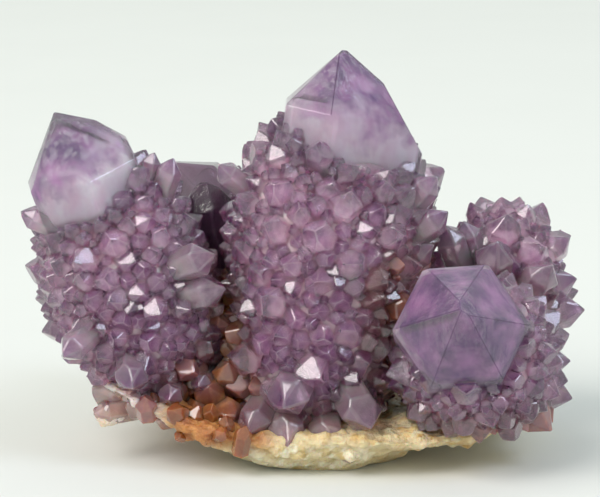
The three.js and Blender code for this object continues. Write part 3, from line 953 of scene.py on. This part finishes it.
def crust(tree):
    # Milky quartz: the dense quartz that the druse grows from, dull and pinkish, rusty in the clefts.
    rust = add(tree, "ShaderNodeAttribute", out="Fac", attribute_name="rust")
    milky = add(tree, "ShaderNodeMix", {0: cloudy(tree, 4.0), 6: "#d4aebc", 7: "#f4dce2"}, **COLOURS)
    brown = add(tree, "ShaderNodeMix", {0: cloudy(tree, 2.0), 6: "#7c3f22", 7: "#b87a48"}, **COLOURS)
    return {
        "Base Color": add(tree, "ShaderNodeMix", {0: rust, 6: milky, 7: brown}, **COLOURS),
        "Roughness": 0.5,
        "IOR": QUARTZ_IOR,
        "Subsurface Weight": 1.0,
        "Subsurface Radius": (1.0, 0.6, 0.8),
        "Subsurface Scale": 1.5 * MM,
    }


def clear_point(tree):
    # Quartz: the clear skin of a single crystal, with smooth growth faces that gleam, etched near the
    # tip. Dark lines run where the colour zones of two tip faces meet. The etch pits are a few tenths
    # of a millimetre wide, and are drawn 0.7 mm wide so that they show.
    dark = add(tree, "ShaderNodeAttribute", out="Fac", attribute_name="dark")
    ridge = add(tree, "ShaderNodeAttribute", out="Fac", attribute_name="ridge")
    etched = add(tree, "ShaderNodeAttribute", out="Fac", attribute_name="etched")
    ridge = add(tree, "ShaderNodeMath", {0: ridge, 1: cloudy(tree, 5.0, 0.2, 0.45)}, operation="MULTIPLY")
    colour = add(tree, "ShaderNodeMix", {0: cloudy(tree, 6.0), 6: "#f2ecf4", 7: "#e2d4e8"}, **COLOURS)
    colour = add(tree, "ShaderNodeMix", {0: dark, 6: colour, 7: "#85577a"}, **COLOURS)
    colour = add(tree, "ShaderNodeMix", {0: ridge, 6: colour, 7: "#5b3f66"}, **COLOURS)
    pits = {"Height": cloudy(tree, 0.7, stretch=(1, 1, 0.25)), "Distance": 0.7 * MM, "Strength": etched}
    pits = add(tree, "ShaderNodeBump", pits)
    waves = {"Height": cloudy(tree, 3.0), "Distance": 0.2 * MM, "Strength": 0.15, "Normal": pits}
    return {
        "Base Color": colour,
        "Roughness": 0.08,
        "IOR": QUARTZ_IOR,
        "Transmission Weight": 0.91,
        "Subsurface Weight": 1.0,
        "Subsurface Radius": (1.0, 0.8, 0.9),
        "Subsurface Scale": 4.0 * MM,
        "Normal": add(tree, "ShaderNodeBump", waves),
    }


def zoned(tree):
    # Amethyst colour zones: purple under the tip faces and milky below, in soft clouds, with white
    # cracks near the tip of an etched crystal. They lie inside the quartz, so they have no gloss.
    dark = add(tree, "ShaderNodeAttribute", out="Fac", attribute_name="dark")
    ridge = add(tree, "ShaderNodeAttribute", out="Fac", attribute_name="ridge")
    etched = add(tree, "ShaderNodeAttribute", out="Fac", attribute_name="etched")
    below = add(tree, "ShaderNodeAttribute", out="Fac", attribute_name="below_tip")
    wisps = cloudy(tree, 3.0, stretch=(1, 1, 0.5))
    milky = add(tree, "ShaderNodeMix", {0: wisps, 6: "#f0dbe6", 7: "#fffafd"}, **COLOURS)
    patches = cloudy(tree, 5.0, 0.35, 0.6)
    purple = add(tree, "ShaderNodeMix", {0: patches, 6: "#83409a", 7: "#dc9fd6"}, **COLOURS)
    ridge = add(tree, "ShaderNodeMath", {0: ridge, 1: cloudy(tree, 3.0, 0.3, 0.7)}, operation="MULTIPLY")
    purple = add(tree, "ShaderNodeMix", {0: ridge, 6: purple, 7: "#522a70"}, **COLOURS)
    clouds = add(tree, "ShaderNodeMapRange", {0: cloudy(tree, 6.0), 3: -0.6, 4: 0.6})
    below = add(tree, "ShaderNodeMath", {0: below, 1: clouds}, operation="ADD", use_clamp=True)
    colour = add(tree, "ShaderNodeMix", {0: below, 6: purple, 7: milky}, **COLOURS)
    cracks = cloudy(tree, 0.9, 0.5, 0.6, (1, 1, 0.25))
    cracks = add(tree, "ShaderNodeMath", {0: etched, 1: cracks}, operation="MULTIPLY")
    colour = add(tree, "ShaderNodeMix", {0: cracks, 6: colour, 7: "#fbf6fd"}, **COLOURS)
    return {
        "Base Color": add(tree, "ShaderNodeMix", {0: dark, 6: colour, 7: "#5a2f46"}, **COLOURS),
        "Roughness": 0.6,
        "IOR": 1.3,
        "Subsurface Weight": 1.0,
        "Subsurface Radius": (1.0, 0.8, 0.9),
        "Subsurface Scale": 2.0 * MM,
    }


def stained_rock(tree):
    # Quartz rock, broken off its wall: granular and yellow, white at the front, with pinkish quartz
    # at the left and rust between. Its finest grains are drawn 0.8 mm wide so that they show.
    grain = add(tree, "ShaderNodeAttribute", out="Fac", attribute_name="grain")
    at_front = add(tree, "ShaderNodeAttribute", out="Fac", attribute_name="white")
    at_left = add(tree, "ShaderNodeAttribute", out="Fac", attribute_name="pink")
    rust = add(tree, "ShaderNodeAttribute", out="Fac", attribute_name="rust")
    yellow = add(tree, "ShaderNodeMix", {0: cloudy(tree, 3.0), 6: "#ecd092", 7: "#b1853a"}, **COLOURS)
    yellow = add(tree, "ShaderNodeMix", {0: grain, 6: yellow, 7: "#e9dcb8"}, **COLOURS)
    white = add(tree, "ShaderNodeMix", {0: grain, 6: "#f4ecd2", 7: "#cdb67e"}, **COLOURS)
    dirt = cloudy(tree, 2.0, 0.5, 0.75)
    white = add(tree, "ShaderNodeMix", {0: dirt, 6: white, 7: "#a98f52"}, **COLOURS)
    pink = add(tree, "ShaderNodeMix", {0: cloudy(tree, 4.0), 6: "#ecccc6", 7: "#fff2ea"}, **COLOURS)
    brown = add(tree, "ShaderNodeMix", {0: cloudy(tree, 3.0), 6: "#944c20", 7: "#d69a58"}, **COLOURS)
    colour = add(tree, "ShaderNodeMix", {0: at_front, 6: yellow, 7: white}, **COLOURS)
    colour = add(tree, "ShaderNodeMix", {0: at_left, 6: colour, 7: pink}, **COLOURS)
    grains = {"Height": cloudy(tree, 0.8), "Distance": 0.4 * MM, "Strength": 0.6}
    return {
        "Base Color": add(tree, "ShaderNodeMix", {0: rust, 6: colour, 7: brown}, **COLOURS),
        "Roughness": 0.4,
        "IOR": QUARTZ_IOR,
        "Subsurface Weight": 0.6,
        "Subsurface Radius": (1.0, 0.6, 0.3),
        "Subsurface Scale": 1.5 * MM,
        "Normal": add(tree, "ShaderNodeBump", grains),
    }


def paper(tree):
    # Matt white paper, which the specimen stands on, rolled smooth: even and without gloss. Its fibres
    # are too fine to show, and are drawn as patches 60 mm wide.
    fibres = add(tree, "ShaderNodeMix", {0: cloudy(tree, 60.0), 6: "#dde0db", 7: "#dee1dc"}, **COLOURS)
    return {"Base Color": fibres, "Roughness": 0.9, "IOR": 1.45}


# Camera, floor and light


def camera():
    data = bpy.data.cameras.new("camera")
    data.lens = LENS
    data.sensor_width = SENSOR
    data.clip_start = 0.01
    data.clip_end = 20.0
    eye = bpy.data.objects.new("camera", data)
    bpy.context.collection.objects.link(eye)
    lift = math.radians(ELEVATION)
    way = Vector((0, -math.cos(lift), math.sin(lift)))
    eye.location = (Vector(AIM) + way * DISTANCE) * MM
    eye.rotation_euler = (-way).to_track_quat("-Z", "Y").to_euler()
    bpy.context.scene.camera = eye


def floor():
    bm = bmesh.new()
    bmesh.ops.create_grid(bm, x_segments=1, y_segments=1, size=3000)
    mesh = finished_mesh("floor", bm)
    mesh.materials.append(material_of("studio_paper", paper))
    piece = bpy.data.objects.new("floor", mesh)
    bpy.context.collection.objects.link(piece)


def lamp(name, place, power, size, colour):
    """A soft square lamp that points at the specimen."""
    data = bpy.data.lights.new(name, "AREA")
    data.energy = power
    data.size = size * MM
    data.color = linear(colour)[:3]
    light = bpy.data.objects.new(name, data)
    bpy.context.collection.objects.link(light)
    light.location = Vector(place) * MM
    light.rotation_euler = (Vector(AIM) - Vector(place)).to_track_quat("-Z", "Y").to_euler()


def light():
    world = bpy.data.worlds.new("studio")
    bpy.context.scene.world = world
    world.use_nodes = True
    world.node_tree.nodes["Background"].inputs["Color"].default_value = linear("#eef4f0")
    world.node_tree.nodes["Background"].inputs["Strength"].default_value = 0.8
    lamp("key", KEY_LAMP, 68.0, 1800, "#fff8f5")
    lamp("fill", FILL_LAMP, 13.0, 800, "#dfe9ff")


FINISHES = {
    "druse": material_of("amethyst_druse", druse),
    "crystal": material_of("milky_amethyst", crystal),
    "stained": material_of("iron_stained_quartz", stained),
    "crust": material_of("milky_quartz", crust),
    "point": material_of("clear_quartz_skin", clear_point),
    "zoned": material_of("zoned_amethyst", zoned),
    "rock": material_of("iron_stained_quartz_rock", stained_rock),
}

camera()
floor()
light()
small_kinds = crystal_kinds(np.random.default_rng(KINDS_SEED))
for spire_name, spire_sizes in SPIRES.items():
    coat(spire_name, small_kinds)
    ground(spire_name)
    if "purple" in spire_sizes:
        point_skin(spire_name, spire_sizes)
        point_heart(spire_name, spire_sizes)
for spire_name in ("left_spire", "centre_spire", "right_spire", "upper_right_spire"):
    large_crystals(spire_name)
point_skin("inner_crystal", INNER_CRYSTAL)
point_heart("inner_crystal", INNER_CRYSTAL)
rubble(rock(), small_kinds)
large_crystals("rock")
bpy.context.scene.view_settings.view_transform = "Standard"
